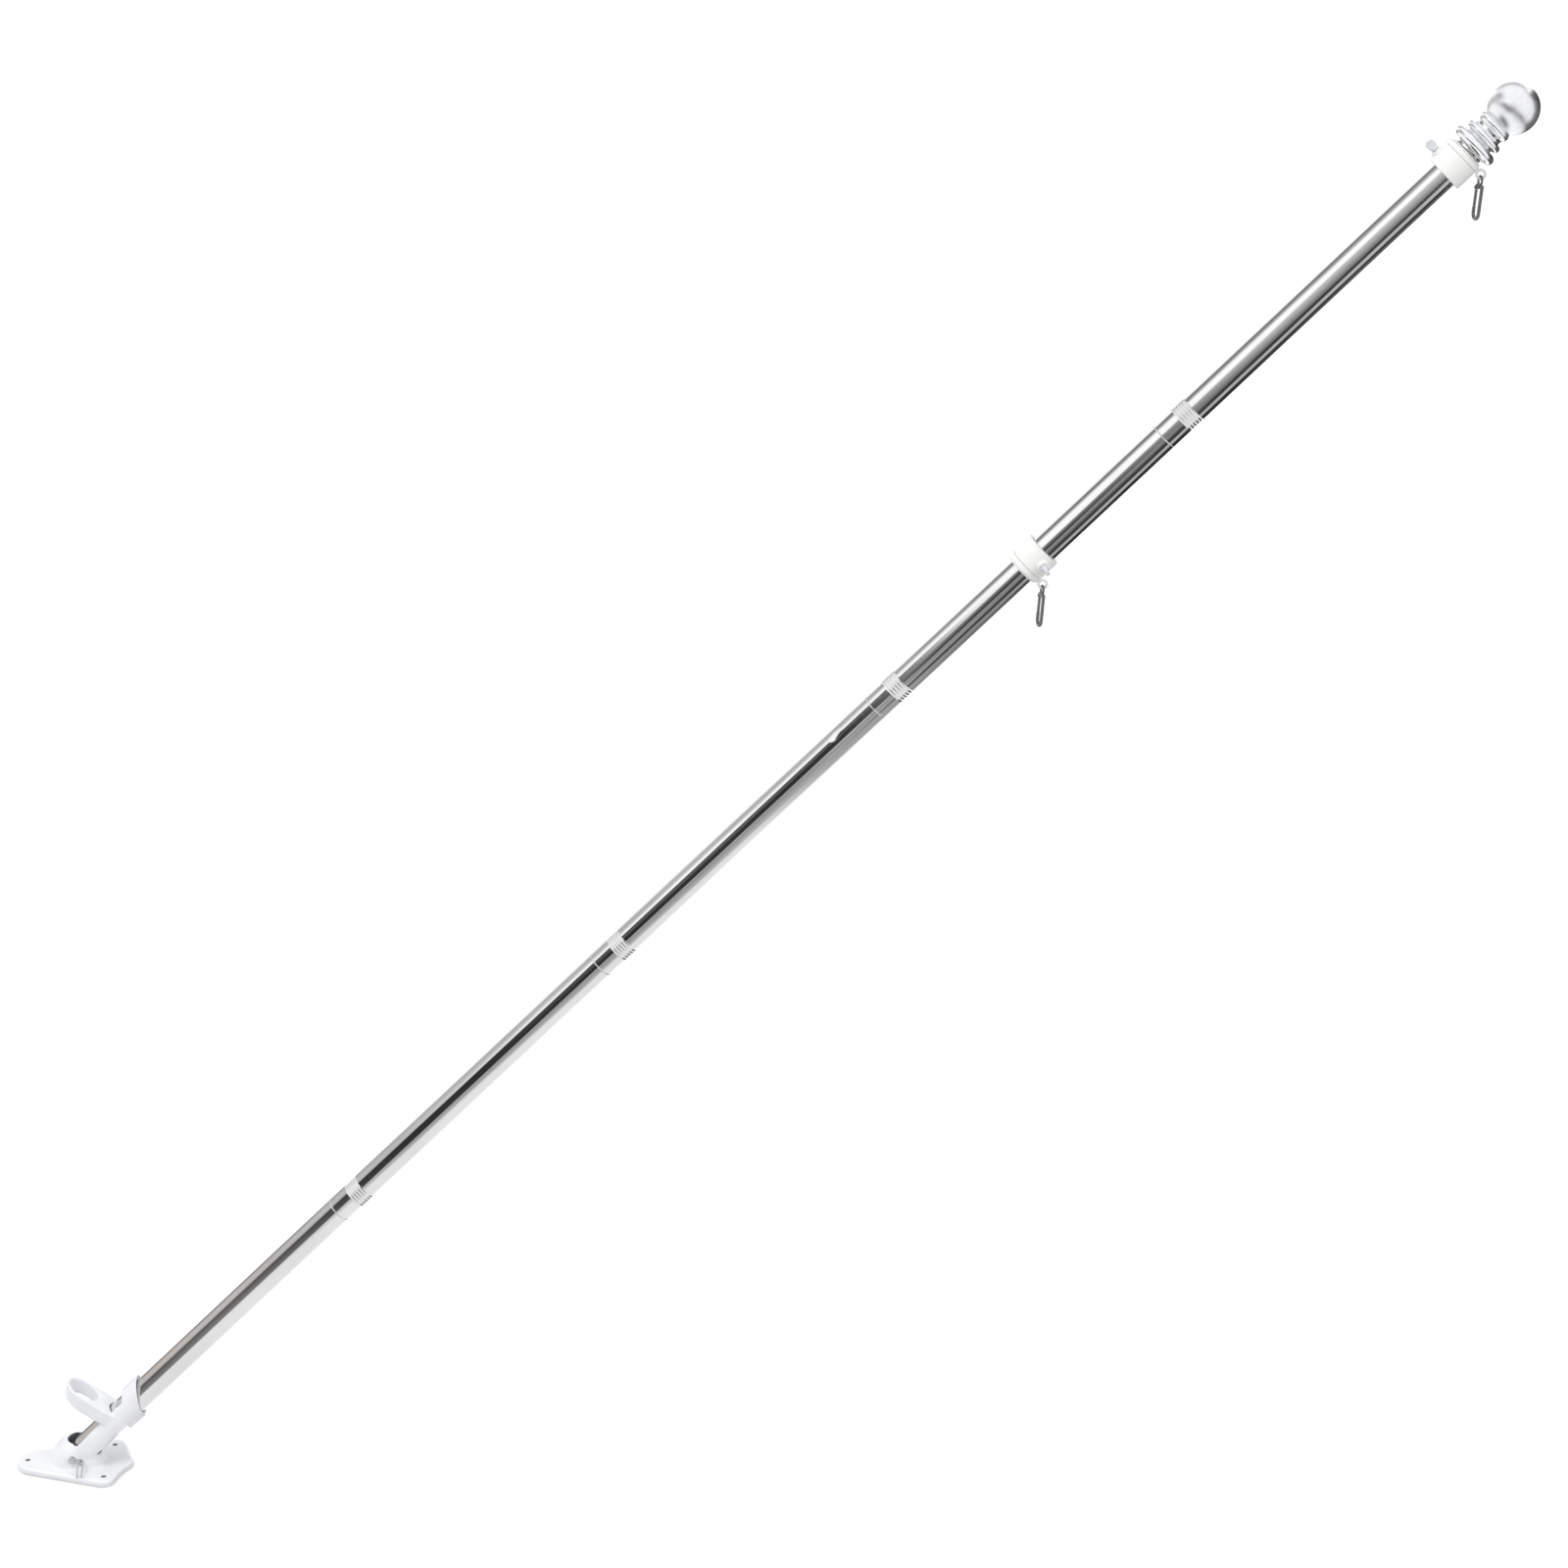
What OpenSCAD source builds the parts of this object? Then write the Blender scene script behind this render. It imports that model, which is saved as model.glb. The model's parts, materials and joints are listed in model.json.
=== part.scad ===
// House flagpole: five steel tube sections in a two-position wall bracket, a ball finial and two swivel flag collars.
// The origin lies on the plate's back face, under the point where the axes of the two sockets cross.
// The plate faces +Z, and the pole leans towards +X.

/* [Pole] */
// Outside diameter of the steel tube
tube_od = 25.4; // [24:0.1:26]
// Wall of the steel tube
tube_wall = 0.6; // [0.5:0.1:1]
// Length of a tube section from seam to seam
section_len = 350; // [300:5:400]
// Extra length of the bottom section, which stands in the socket
foot_len = 14; // [8:1:30]
// Angle between the pole and the mounting plate
pole_angle = 45; // [42:1:48]
// Height above a seam of the middle of its rolled grooves
groove_rise = 28; // [20:1:32]
// Distance from one rolled groove to the next
groove_pitch = 3; // [2.5:0.1:3.5]
// Depth of a rolled groove
groove_depth = 0.55; // [0.3:0.05:0.8]
// Length of the threaded insert above a seam
insert_above = 45; // [42:1:60]
// Length of the threaded insert below a seam
insert_below = 25; // [15:1:40]
// Wall of the threaded insert
insert_wall = 2; // [1.5:0.1:3]
// Distance of the dent below the third seam
dent_drop = 41; // [20:1:80]
// Depth of the dent
dent_depth = 0.3; // [0.1:0.05:0.4]
// Radius of the dent's hollow
dent_r = 70; // [30:5:90]
// Turn of the dent about the pole, from the ears' side towards the viewer
dent_turn = 129; // [100:1:150]

/* [Bracket] */
// Thickness of the mounting plate
plate_t = 6; // [4.5:0.5:7]
// Rounding of the plate's upper edge
plate_round = 2; // [1:0.25:2.5]
// Depth of the hollows in the plate's edge beside the nose
waist = 1.4; // [0.5:0.1:2]
// Radius of the hollows in the plate's edge
waist_r = 70; // [50:5:90]
// Distance from the crossing of the sockets to the single screw hole
tail_x = 51.5; // [48:0.5:60]
// Radius of the plate's rounded tail
tail_r = 20; // [16:0.5:22]
// Distance from the tail's end to the middle of its screw hole
tail_edge = 9.5; // [7:0.5:14]
// Distance from the crossing of the sockets to the pair of screw holes
pair_x = 26.5; // [24:0.5:32]
// Distance between the two screw holes of the pair
pair_gap = 61; // [56:1:70]
// Radius of the plate's two side lobes
lobe_r = 11; // [8:0.5:12]
// Distance from the crossing of the sockets to the plate's blunt nose
nose_x = 49.5; // [46:0.5:56]
// Radius of the plate's blunt nose
nose_r = 7; // [5:0.5:9]
// Diameter of the screw holes
screw_hole_d = 5; // [4:0.1:6]
// Height above the back face at which the axes of the two sockets cross
cross_h = 15; // [14:0.5:18]
// Gap all round between the tube and its socket
socket_gap = 0.8; // [0.6:0.1:1.2]
// Gap all round between a tube and the second socket's foot, which holds it tighter than the eye
foot_gap = 0.3; // [0.2:0.05:0.4]
// Wall of the sleeve round the pole
sleeve_wall = 4.5; // [3.5:0.1:6]
// Distance along the pole from the crossing to the middle of the mouth ring
ring_at = 76; // [74:0.5:84]
// Length of the mouth ring along the pole
ring_len = 20.5; // [16:0.5:24]
// Slant of the mouth ring's two faces
ring_slant = 34; // [20:1:38]
// Distance along the pole from the crossing to the joint between the dome's casting and the sleeve's
sleeve_from = 19; // [18:0.5:24]
// Reach of the side cheeks above the pole's axis
cheek_up = 10; // [8:0.5:12]
// Reach of the side cheeks below the pole's axis
cheek_down = 9; // [6:0.5:11]
// Angle between the second socket and the mounting plate
second_angle = 84; // [82:1:90]
// Height above the back face at which the tongue crosses the second socket's axis
eye_h = 74; // [71:0.5:78]
// Wall round the second socket's eye
eye_wall = 3.7; // [3:0.1:4.5]
// Thickness of the tongue that carries the second socket's eye
tongue_t = 13.5; // [10:0.5:16]
// Slope of the tongue, down towards the pole
tongue_slope = 35; // [30:1:40]
// Height of the dome above the back face
dome_h = 30.5; // [28:0.5:34]
// Radius of the fillet between the dome and the plate
foot_round = 5; // [2:0.5:6]
// Half of the dome's width at its foot
dome_r = 20; // [18:0.5:22]
// Distance from the crossing to the middle of the dome's tail end
dome_back = 9; // [4:0.5:12]
// Distance from the crossing to the middle of the dome's nose end
dome_front = 2; // [0:0.5:5]

/* [Locking pin] */
// Diameter of the cross pin
pin_d = 4; // [3:0.1:5]
// Distance from the crossing back to the cross pin
pin_back = 5; // [4.5:0.5:7]
// Height of the cross pin above the plate's back face
pin_h = 17; // [16:0.5:18.5]
// Diameter of the cross pin's head
pin_head_d = 6; // [5:0.1:8]
// Length of the cross pin's head
pin_head_len = 3; // [2:0.5:4]
// Diameter of the spring clip's wire
spring_wire = 1.4; // [1:0.1:1.6]
// Radius of the spring clip's loop to the middle of its wire
spring_loop = 2.6; // [2.4:0.1:3.2]
// Length of the spring clip from its loop's middle to its legs' ends
spring_len = 15; // [13:0.5:16]
// Distance between the middles of the spring clip's legs
spring_gap = 4.4; // [3.6:0.1:5]
// Distance from the crossing to the stud that the spring clip hangs on
stud_x = 4; // [3:0.5:5]
// Diameter of the stud
stud_d = 1.8; // [1.4:0.1:2]
// Thickness of the tab between the pin and the stud
tab_t = 1.4; // [1:0.1:2]

/* [Finial] */
// Diameter of the ball
ball_d = 44.8; // [40:0.2:50]
// Height of the ball's middle above the tube's top end
ball_h = 52; // [50:1:60]
// Diameter of the widest bead
bead1_d = 43.4; // [38:0.1:46]
// Thickness of the widest bead
bead1_t = 9.2; // [7:0.1:10]
// Height of the widest bead's middle above the tube's top end
bead1_h = 8; // [7:0.1:10]
// Diameter of the second bead
bead2_d = 36.3; // [33:0.1:40]
// Thickness of the second bead
bead2_t = 6.8; // [5:0.1:8]
// Height of the second bead's middle above the tube's top end
bead2_h = 18.3; // [16:0.1:20]
// Diameter of the bead under the ball
bead3_d = 31.7; // [29:0.1:34]
// Thickness of the bead under the ball
bead3_t = 9.2; // [7:0.1:11]
// Height of that bead's middle above the tube's top end
bead3_h = 30.3; // [27:0.1:32]
// Diameter of the neck between the beads
neck_d = 27; // [25:0.1:28]
// Depth of the finial's plug in the tube
plug_len = 24; // [15:1:35]
// Diameter of the plug's stub, which the finial is pressed on
stub_d = 12; // [8:0.5:16]
// Length of the plug's stub
stub_len = 14; // [8:1:18]

/* [Flag collars] */
// Height of the lower collar's lower end above the first seam
lower_rise = 880; // [760:5:1000]
// Gap between the upper collar and the tube's top end
upper_drop = 0.3; // [0.1:0.1:5]
// Outside diameter of the collars and swivel rings
collar_od = 35; // [33.5:0.5:38]
// Gap all round between the tube and a collar
collar_gap = 0.3; // [0.2:0.05:0.4]
// Length of a collar's clamping part
collar_len = 20; // [18:0.5:26]
// Length of a swivel ring along the pole
swivel_len = 4.8; // [4.4:0.1:7]
// Wall of a collar's neck, on which the swivel ring turns
neck_wall = 1.8; // [1.5:0.1:2.2]
// Thickness of the lip that keeps the swivel ring on its neck
lip_t = 1.4; // [1:0.1:2]
// Reach of the lip beyond the neck
lip_reach = 1.1; // [0.8:0.1:1.4]
// Distance of an ear's middle from the pole's axis
ear_reach = 22.8; // [22:0.1:24]
// Radius of an ear from its middle to the middle of its rim
ear_r = 3.7; // [3.5:0.1:4]
// Thickness of an ear's rim
ear_rim = 2.3; // [2:0.1:2.5]
// Radius of the boss round a thumb screw
boss_r = 5.4; // [4.5:0.1:6]
// Distance of the boss's middle from the collar's shoulder
boss_at = 11; // [9:0.5:12]
// Height of the boss above the collar
boss_h = 2.5; // [1.5:0.1:3.5]
// Diameter of a thumb screw
screw_d = 4; // [3:0.1:4.5]
// Length of a thumb screw's oval wing
wing_len = 10; // [9:0.1:10.5]
// Width of a thumb screw's oval wing
wing_w = 8.5; // [7:0.1:9]
// Thickness of a thumb screw's oval wing
wing_t = 3.4; // [2.5:0.1:3.5]
// Turn of the lower wing about its own screw
lower_wing = 75; // [-90:5:90]
// Turn of the upper wing about its own screw
upper_wing = 0; // [-90:5:90]
// Turn of the lower thumb screw about the pole, from the ear's side towards the viewer
lower_turn = 66; // [50:1:90]
// Turn of the upper thumb screw about the pole, from the ear's side
upper_turn = 180; // [150:1:210]

/* [Snap clips] */
// Length of a snap clip from eye to bend
clip_len = 39; // [36:0.5:44]
// Width of a snap clip between the middles of its two sides
clip_w = 11; // [10:0.5:13]
// Diameter of the wire in a snap clip's eye
eye_wire = 2; // [1.6:0.1:2.1]
// Radius of a snap clip's eye to the middle of its wire
eye_r = 3.8; // [3.7:0.1:4.2]
// Diameter of the rod of a snap clip's body
rod_d = 3; // [2.4:0.1:3.2]
// Diameter of the rod of a snap clip's gate
gate_d = 2.6; // [2:0.1:2.8]
// Diameter of the gate's rivet
rivet_d = 1.6; // [1.2:0.1:1.8]
// Length of a gate from its rivet to the nose
gate_len = 16; // [14:0.5:18]
// Thickness of the gate's hinge tab
hinge_t = 1.2; // [1:0.1:1.4]
// Radius of the hinge's rounded ends
hinge_r = 1.8; // [1.6:0.1:2]
// Height of the bridge between a snap clip's two sides
bridge_t = 3.2; // [2.8:0.1:3.6]
// Turn of the hanging clips about the vertical
clip_turn = 13; // [0:1:20]
// Lean of the hanging clips towards the pole's foot
clip_lean = 4; // [0:1:6]

/* [Hidden] */
$fn = 64;

fit_gap = 0.05;         // running clearance of shafts
seat_gap = 0.2;         // gap between pieces that rest on each other
tube_r = tube_od / 2;
bore_r = tube_r - tube_wall;
grooves = 5;
groove_steps = 6;
socket_r = tube_r + socket_gap;
sleeve_r = socket_r + sleeve_wall;
tail_c = [-(tail_x + tail_edge - tail_r), 0];
lobe_c = [pair_x, pair_gap / 2];
nose_c = [nose_x - nose_r, 0];
floor_z = plate_t;
neck_r = tube_r + collar_gap + neck_wall;
ring_bore_r = neck_r + fit_gap;
neck_len = swivel_len + 2 * seat_gap + lip_t;
lower_at = foot_len + section_len + lower_rise + neck_len;
upper_at = foot_len + 5 * section_len - upper_drop - neck_len;
screw_tip = tube_r + seat_gap;
wing_base = collar_od / 2 + boss_h + 2 * seat_gap;
screw_grip = 2.5;       // depth of a thumb screw in its wing
cut_len = 200;          // reach of the cutting tools beyond the bracket
eye_a = (eye_h - cross_h) / sin(second_angle);
eye_out_r = socket_r + eye_wall;
spring_lean = acos((pin_h - plate_t - spring_wire / 2 - seat_gap) / spring_len);
stud_len = 2 * (spring_loop * sin(spring_lean) + spring_wire / 2 + seat_gap);
hang_gap = 0.15;        // gap between an ear and the clip's eye that hangs in it
eye_drop = ear_r - ear_rim / 2 - eye_wire / 2 - hang_gap;
eye_z = -(eye_drop + eye_r);
clip_foot = -(eye_drop - eye_wire / 2 + clip_len);
bend_z = clip_foot + clip_w / 2 + rod_d / 2;
rivet_y = clip_w / 2 - 0.6;
eye_seat = 1.5;         // how far a clip's bridge reaches up into its eye's wire
rivet_z = eye_z - eye_r + eye_seat - eye_wire / 2 - bridge_t;
rivet_head = 0.4;       // height and rim of a rivet's heads
hinge_gap = 0.6;        // room round the hinge's rounded ends
slice = 0.2;            // thickness of the slices that a hull joins
fillet_sink = 0.35;     // how far a fillet's arc reaches into the faces that it joins
dome_taper = 0.42;      // share of its radius that the dome loses up to its top

// A seam's distance from the crossing, measured along the pole
function seam(i) = foot_len + i * section_len;
// A point at distance a along the pole and x below its axis
function pole_point(a, x) = [
    a * cos(pole_angle) + x * sin(pole_angle), 0, cross_h + a * sin(pole_angle) - x * cos(pole_angle)
];
// The outer tangent of two circles, on the left when looking from the first to the second
function tangent(c1, r1, c2, r2) =
    let (d = c2 - c1, l = norm(d), turn = atan2(d.y, d.x) + acos((r1 - r2) / l), n = [cos(turn), sin(turn)])
    [c1 + r1 * n, c2 + r2 * n];

module along_pole(a) {
    translate([0, 0, cross_h]) rotate([0, 90 - pole_angle, 0]) translate([0, 0, a]) children();
}

module along_second(a) {
    translate([0, 0, cross_h]) rotate([0, 90 - second_angle, 0]) translate([0, 0, a]) children();
}

// A ring of round section round the Z axis
module hoop(r, wire) {
    rotate_extrude() translate([r, 0]) circle(d = wire, $fn = 24);
}

// A slab across the XZ plane, its faces sloping down towards +X
module slab(at, slope, thick, reach) {
    translate(at) rotate([0, slope, 0]) translate([-reach, -reach, -thick / 2]) cube([2 * reach, 2 * reach, thick]);
}

// The four discs that round the plate's corners, set in from its edge
module plate_discs(inset, z, h) {
    for (d = [[tail_c, tail_r], [lobe_c, lobe_r], [[lobe_c.x, -lobe_c.y], lobe_r], [nose_c, nose_r]])
        translate([d[0].x, d[0].y, z]) cylinder(r = d[1] - inset, h = h, $fn = 56);
}

module plate() {
    lower_t = plate_t - plate_round;
    side = tangent(lobe_c, lobe_r, nose_c, nose_r);
    hollow = (side[0] + side[1]) / 2 + (side[0] - lobe_c) / lobe_r * (waist_r - waist);
    difference() {
        hull() {
            plate_discs(0, 0, lower_t);
            for (q = [30:30:90])
                plate_discs(plate_round * (1 - cos(q)), lower_t + plate_round * sin(q) - slice, slice);
        }
        for (s = [-1, 1]) translate([hollow.x, s * hollow.y, -1]) cylinder(r = waist_r, h = plate_t + 2);
    }
}

module dome() {
    hull() for (k = [0, 0.25, 0.5, 0.75, 0.9, 1]) {
        r = dome_r * (1 - dome_taper * pow(k, 2.6));
        z = plate_t + (dome_h - plate_t) * k;
        for (x = [-dome_back * (1 - 0.7 * k * k), dome_front * (1 - k)])
            translate([x, 0, z - slice]) cylinder(r = r, h = slice, $fn = 48);
    }
}

module fillet_section() {
    top = foot_round - fillet_sink;
    translate([dome_r, 0]) difference() {
        translate([-2, -1]) square([foot_round + 2, top + 1]);
        translate([top, top]) circle(r = foot_round);
    }
}

// The hollow fillet round the dome's foot
module dome_foot() {
    for (x = [-dome_back, dome_front]) translate([x, 0, plate_t]) rotate_extrude() fillet_section();
    translate([-dome_back, 0, plate_t]) rotate([90, 0, 90]) linear_extrude(dome_back + dome_front)
        for (s = [0, 1]) mirror([s, 0]) fillet_section();
}

// The sleeve round the pole, open above and below so that only its side cheeks are left
module cheeks(from, to) {
    intersection() {
        along_pole(from) cylinder(r = sleeve_r, h = to - from);
        along_pole(from) translate([-cheek_up, -sleeve_r, 0])
            cube([cheek_up + cheek_down, 2 * sleeve_r, to - from]);
    }
}

module mouth_ring() {
    intersection() {
        along_pole(ring_at - ring_len * 1.5) cylinder(r = sleeve_r, h = 3 * ring_len);
        along_pole(ring_at) rotate([0, ring_slant, 0])
            cube([cut_len, cut_len, ring_len * cos(ring_slant)], center = true);
    }
}

module tongue() {
    intersection() {
        union() {
            along_second(0) cylinder(r = eye_out_r, h = cut_len);
            along_second(0) translate([0, -eye_out_r, 0]) cube([ring_at, 2 * eye_out_r, cut_len]);
        }
        slab([eye_a * cos(second_angle), 0, eye_h], tongue_slope, tongue_t, cut_len / 2);
        along_pole(sleeve_from) translate([-cut_len, -cut_len / 2, 0]) cube([cut_len + cheek_down, cut_len, cut_len]);
    }
}

// The two poles' places, and the holes for the screws and the cross pin
module bracket_cuts() {
    along_pole(0) cylinder(r = socket_r, h = cut_len);
    intersection() {
        union() {
            along_second(-2 * cross_h) cylinder(r = tube_r + foot_gap, h = cut_len);
            along_second(eye_a * 2 / 3) cylinder(r = socket_r, h = cut_len);
        }
        translate([-cut_len / 2, -cut_len / 2, floor_z]) cube(cut_len);
    }
    for (at = [[-tail_x, 0], [pair_x, pair_gap / 2], [pair_x, -pair_gap / 2]])
        translate([at.x, at.y, -1]) cylinder(d = screw_hole_d, h = plate_t + 2);
    translate([-pin_back, 0, pin_h]) rotate([90, 0, 0])
        cylinder(r = pin_d / 2 + fit_gap, h = 4 * dome_r, center = true);
}

module bracket_body() {
    color("white") difference() {
        union() {
            plate();
            dome();
            dome_foot();
            cheeks(0, sleeve_from);
        }
        bracket_cuts();
    }
}

// The sleeve's open part with the mouth ring and the tongue
module bracket_socket() {
    color("white") difference() {
        union() {
            cheeks(sleeve_from, ring_at);
            mouth_ring();
            tongue();
        }
        bracket_cuts();
    }
}

// The cross pin under the tube's end, with a tab and stud that carry the spring clip
module lock_pin() {
    color("silver") translate([-pin_back, 0, pin_h]) rotate([90, 0, 0]) union() {
        translate([0, 0, -dome_r - 3]) cylinder(d = pin_d, h = 2 * dome_r + 3);
        translate([0, 0, dome_r]) cylinder(d = pin_head_d, h = pin_head_len);
        translate([0, -stud_d * 2 / 3, dome_r]) cube([stud_x + pin_back, stud_d * 4 / 3, tab_t]);
        translate([stud_x + pin_back, 0, dome_r]) cylinder(d = stud_d * 4 / 3, h = tab_t);
        translate([stud_x + pin_back, 0, dome_r]) cylinder(d = stud_d, h = tab_t + stud_len);
    }
}

// The spring clip hangs on the stud by its loop and leans outwards with its legs on the plate
module spring_clip() {
    sag = spring_loop * cos(spring_lean) - (stud_d + spring_wire) / 2 - fit_gap;
    leg_top = -sqrt(spring_loop * spring_loop - spring_gap * spring_gap / 4);
    color("silver") translate([stud_x, -dome_r - tab_t - stud_len / 2, pin_h - sag]) rotate([-spring_lean, 0, 0]) union() {
        rotate([90, 0, 0]) hoop(spring_loop, spring_wire);
        for (s = [-1, 1])
            translate([s * spring_gap / 2, 0, -spring_len]) cylinder(d = spring_wire * 0.9, h = spring_len + leg_top);
    }
}

// Outline of a tube wall from z0 to z1, with rolled grooves round the height g where there are any
function groove_line(r, g) = [
    for (k = [0:grooves - 1], j = [0:groove_steps])
        [r - groove_depth * (1 - cos(360 * j / groove_steps)) / 2,
         g + (k - (grooves - 1) / 2) * groove_pitch + (j / groove_steps - 0.5) * groove_pitch * 0.8]
];
function flip(list) = [for (i = [len(list) - 1:-1:0]) list[i]];

module tube(z0, z1, grooved) {
    outer = grooved ? groove_line(tube_r, z0 + groove_rise) : [];
    inner = grooved ? flip(groove_line(bore_r, z0 + groove_rise)) : [];
    c = tube_wall / 2;
    color("gainsboro") along_pole(0) rotate_extrude() polygon(concat(
        [[bore_r, z0], [tube_r - c, z0], [tube_r, z0 + c]], outer,
        [[tube_r, z1 - c], [tube_r - c, z1], [bore_r, z1]], inner));
}

// The third section, with the shallow dent in its side
module dented_tube() {
    difference() {
        tube(seam(2), seam(3), true);
        along_pole(seam(3) - dent_drop) rotate([0, 0, -dent_turn])
            translate([tube_r - dent_depth + dent_r, 0, 0]) sphere(r = dent_r, $fn = 96);
    }
}

module insert(i) {
    r = bore_r - fit_gap;
    line = groove_line(r, seam(i) + groove_rise);
    color("dimgray") along_pole(0) rotate_extrude() polygon(concat(
        [[r - insert_wall, seam(i) - insert_below], [r, seam(i) - insert_below]], line,
        [[r, seam(i) + insert_above], [r - insert_wall, seam(i) + insert_above]]));
}

// A rounded bead round the finial
module bead(d, t, h) {
    translate([0, 0, h]) hoop((d - t) / 2, t);
    translate([0, 0, h - t / 2]) cylinder(d = d - t, h = t);
}

module finial() {
    color("silver") along_pole(seam(5)) difference() {
        union() {
            translate([0, 0, ball_h]) sphere(d = ball_d);
            cylinder(d = neck_d, h = ball_h - ball_d / 4);
            bead(bead1_d, bead1_t, bead1_h);
            bead(bead2_d, bead2_t, bead2_h);
            translate([0, 0, bead3_h]) hoop((bead3_d - bead3_t) / 2, bead3_t);
        }
        translate([0, 0, -1]) cylinder(r = stub_d / 2 + fit_gap, h = 1 + stub_len + seat_gap);
    }
}

// The plug in the tube's top end, whose stub carries the finial
module finial_plug() {
    color("dimgray") along_pole(seam(5)) union() {
        translate([0, 0, -plug_len]) cylinder(r = bore_r - fit_gap, h = plug_len);
        cylinder(d = stub_d, h = stub_len);
    }
}

// A collar with its neck pointing down the pole, its clamping part starting at height 0
module collar(turn) {
    r = collar_od / 2;
    bore = tube_r + collar_gap;
    color("white") difference() {
        union() {
            cylinder(r = r, h = collar_len);
            translate([0, 0, -neck_len]) cylinder(r = neck_r, h = neck_len + 1);
            translate([0, 0, -neck_len]) cylinder(r = neck_r + lip_reach, h = lip_t);
            translate([0, 0, boss_at]) rotate([0, 90, turn]) cylinder(r = boss_r, h = r + boss_h);
        }
        translate([0, 0, -neck_len - 1]) cylinder(r = bore, h = neck_len + collar_len + 2);
        translate([0, 0, boss_at]) rotate([0, 90, turn])
            cylinder(r = screw_d / 2 + fit_gap, h = r + boss_h + 1);
    }
}

// The flat ear with chamfered edges, round the Z axis
module ear() {
    h = ear_rim / 2;
    c = h / 2;
    rotate_extrude() translate([ear_r, 0])
        polygon([[-h, c - h], [c - h, -h], [h - c, -h], [h, c - h], [h, h - c], [h - c, h], [c - h, h], [-h, h - c]]);
}

// A swivel ring with its ear on the +X side, on the neck of a collar
module swivel() {
    z = -seat_gap - swivel_len;
    color("white") difference() {
        union() {
            translate([0, 0, z]) cylinder(d = collar_od, h = swivel_len);
            translate([ear_reach, 0, z + swivel_len / 2]) rotate([90, 0, 0]) ear();
            translate([ear_reach - ear_r - ear_rim, -ear_rim / 2, z]) cube([ear_rim + 0.6, ear_rim, swivel_len]);
        }
        translate([0, 0, z - 1]) cylinder(r = ring_bore_r, h = swivel_len + 2);
    }
}

module thumb_screw(turn) {
    color("silver") translate([0, 0, boss_at]) rotate([0, 90, turn]) translate([0, 0, screw_tip])
        cylinder(d = screw_d, h = wing_base + screw_grip - screw_tip);
}

module wing(turn, spin) {
    r = wing_w / 2;
    color("lightgray") translate([0, 0, boss_at]) rotate([0, 90, turn]) rotate([0, 0, spin]) difference() {
        union() {
            translate([0, -wing_t / 2, wing_base + r]) rotate([-90, 0, 0]) cylinder(r = r, h = wing_t);
            translate([0, -wing_t / 2, wing_base + wing_len - r]) rotate([-90, 0, 0]) cylinder(r = r, h = wing_t);
            translate([-r, -wing_t / 2, wing_base + r]) cube([2 * r, wing_t, wing_len - 2 * r]);
            translate([0, 0, wing_base]) cylinder(r = screw_d / 2 + 1, h = screw_grip + 0.5);
        }
        translate([0, 0, wing_base - 1]) cylinder(d = screw_d, h = screw_grip + 1);
    }
}

// A snap clip hanging from the middle of an ear, in the YZ plane, its gate on the +Y side in a fork
module clip_body() {
    side = clip_w / 2;
    color("silver") difference() {
        union() {
            translate([0, 0, eye_z]) rotate([0, 90, 0]) hoop(eye_r, eye_wire);
            translate([-rod_d / 2, -side, rivet_z]) cube([rod_d, side + rivet_y, bridge_t]);
            translate([0, rivet_y, rivet_z]) rotate([0, 90, 0]) cylinder(r = hinge_r, h = rod_d, center = true);
            translate([0, -side, bend_z]) cylinder(d = rod_d, h = rivet_z + bridge_t - bend_z);
            translate([0, 0, bend_z]) intersection() {
                rotate([0, 90, 0]) rotate_extrude() translate([side, 0]) circle(d = rod_d, $fn = 24);
                translate([-rod_d, -2 * side, -2 * side]) cube([2 * rod_d, 4 * side, 2 * side]);
            }
            translate([0, side, bend_z]) cylinder(d = rod_d, h = rivet_z - gate_len - bend_z - seat_gap);
        }
        translate([0, rivet_y, rivet_z]) rotate([0, 90, 0]) {
            cylinder(r = hinge_r + hinge_gap, h = hinge_t + 2 * seat_gap, center = true);
            cylinder(d = rivet_d, h = 2 * rod_d, center = true);
        }
    }
}

module clip_rivet() {
    color("silver") translate([0, rivet_y, rivet_z]) rotate([0, 90, 0]) {
        cylinder(d = rivet_d, h = rod_d, center = true);
        for (s = [0, 1]) mirror([0, 0, s]) translate([0, 0, rod_d / 2])
            cylinder(r = rivet_d / 2 + rivet_head, h = rivet_head);
    }
}

module clip_gate() {
    lever_y = clip_w / 2 - rivet_y;
    color("silver") translate([0, rivet_y, rivet_z]) difference() {
        union() {
            rotate([0, 90, 0]) cylinder(r = hinge_r, h = hinge_t, center = true);
            translate([-hinge_t / 2, lever_y - gate_d / 3, -2 * hinge_r]) cube([hinge_t, gate_d * 2 / 3, 2 * hinge_r]);
            translate([0, lever_y, -gate_len]) cylinder(d = gate_d, h = gate_len - hinge_r - hinge_gap);
        }
        rotate([0, 90, 0]) cylinder(r = rivet_d / 2 + fit_gap, h = 2 * rod_d, center = true);
    }
}

module at_lower() {
    along_pole(lower_at) children();
}

module at_upper() {
    along_pole(upper_at) mirror([0, 0, 1]) children();
}

module hang() {
    rotate([0, clip_lean, 0]) rotate([0, 0, clip_turn]) children();
}

module hang_lower() {
    translate(pole_point(lower_at - seat_gap - swivel_len / 2, ear_reach)) hang() children();
}

module hang_upper() {
    translate(pole_point(upper_at + seat_gap + swivel_len / 2, ear_reach)) hang() children();
}

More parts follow.
